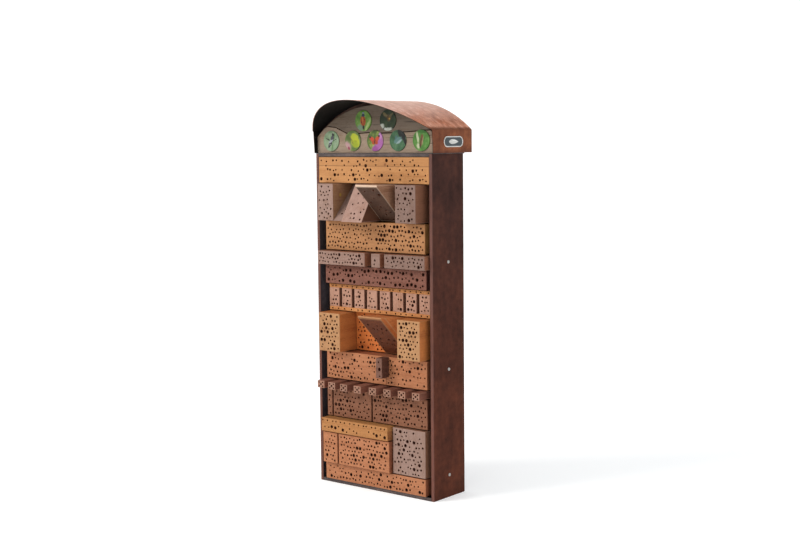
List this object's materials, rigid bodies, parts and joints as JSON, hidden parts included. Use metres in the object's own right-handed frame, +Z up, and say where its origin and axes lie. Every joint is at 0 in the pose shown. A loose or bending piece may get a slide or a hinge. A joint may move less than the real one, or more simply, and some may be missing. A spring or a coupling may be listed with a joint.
{
  "type": "insect hotel",
  "caption": "Free-standing insect hotel: a rusty steel case with an arched visor roof, filled with drilled wooden nest blocks, ramps, sticks and sheltered bays.",
  "frame": {"origin": "centre of the case's footprint on the ground", "axes": "+Z up, the drilled front faces -Y, +X to the right seen from the front"},
  "size_m": [0.4142, 0.282, 1.0585],
  "materials": {
    "corten_steel": "matt weathered rust",
    "plain_timber": "sawn",
    "screw_steel": "bright",
    "honey_wood": "planed and oiled",
    "grey_wood": "weathered",
    "red_wood": "weathered, reddish",
    "pink_wood": "planed, pinkish",
    "orange_wood": "planed, orange",
    "weathered_wood": "silvered, cracked",
    "picture_print": "glossy print",
    "badge_metal": "printed plate"
  },
  "bodies": {
    "case": {"case_shell": "corten_steel", "backboard": "plain_timber", "base_tray": "corten_steel", "top_tray": "corten_steel", "battens": "plain_timber", "side_screws": "screw_steel", "header_board": "honey_wood", "ramp_block_left": "grey_wood", "ramp_narrow": "grey_wood", "ramp_wide": "grey_wood", "ramp_canopy": "grey_wood", "ramp_block_right": "grey_wood", "upper_board": "honey_wood", "bar_left": "grey_wood", "bar_short": "grey_wood", "bar_right": "grey_wood", "middle_board": "red_wood", "comb_slat_top": "orange_wood", "comb_slat_bottom": "orange_wood", "comb_block_1": "pink_wood", "comb_block_2": "pink_wood", "comb_block_3": "pink_wood", "comb_block_4": "pink_wood", "comb_block_5": "pink_wood", "comb_block_6": "pink_wood", "comb_block_7": "pink_wood", "comb_block_8": "pink_wood", "canopy_block_left": "honey_wood", "canopy_panel": "orange_wood", "canopy_wedge": "orange_wood", "canopy_facing": "orange_wood", "canopy_block_right": "honey_wood", "panel_left": "orange_wood", "panel_square": "red_wood", "panel_right": "orange_wood", "stick_1": "red_wood", "stick_2": "red_wood", "stick_3": "red_wood", "stick_4": "red_wood", "stick_5": "red_wood", "stick_6": "red_wood", "stick_7": "red_wood", "stick_8": "red_wood", "lower_strip": "pink_wood", "lower_panel_left": "pink_wood", "lower_panel_right": "pink_wood", "ledge_slat": "honey_wood", "ledge_beam": "honey_wood", "standing_block": "grey_wood", "under_block": "honey_wood", "under_panel": "orange_wood", "foot_board": "honey_wood"},
    "roof_cap": {"roof_shell": "corten_steel", "front_gable": "corten_steel", "rear_gable": "corten_steel", "gable_board_upper": "weathered_wood", "gable_board_lower": "weathered_wood", "picture_discs": "picture_print", "badge": "badge_metal"}
  },
  "joints": [
    {"name": "roof_lift", "type": "slide", "parent": "case", "child": "roof_cap", "axis": [0, 0, 1], "range_m": [0, 0.12]}
  ]
}
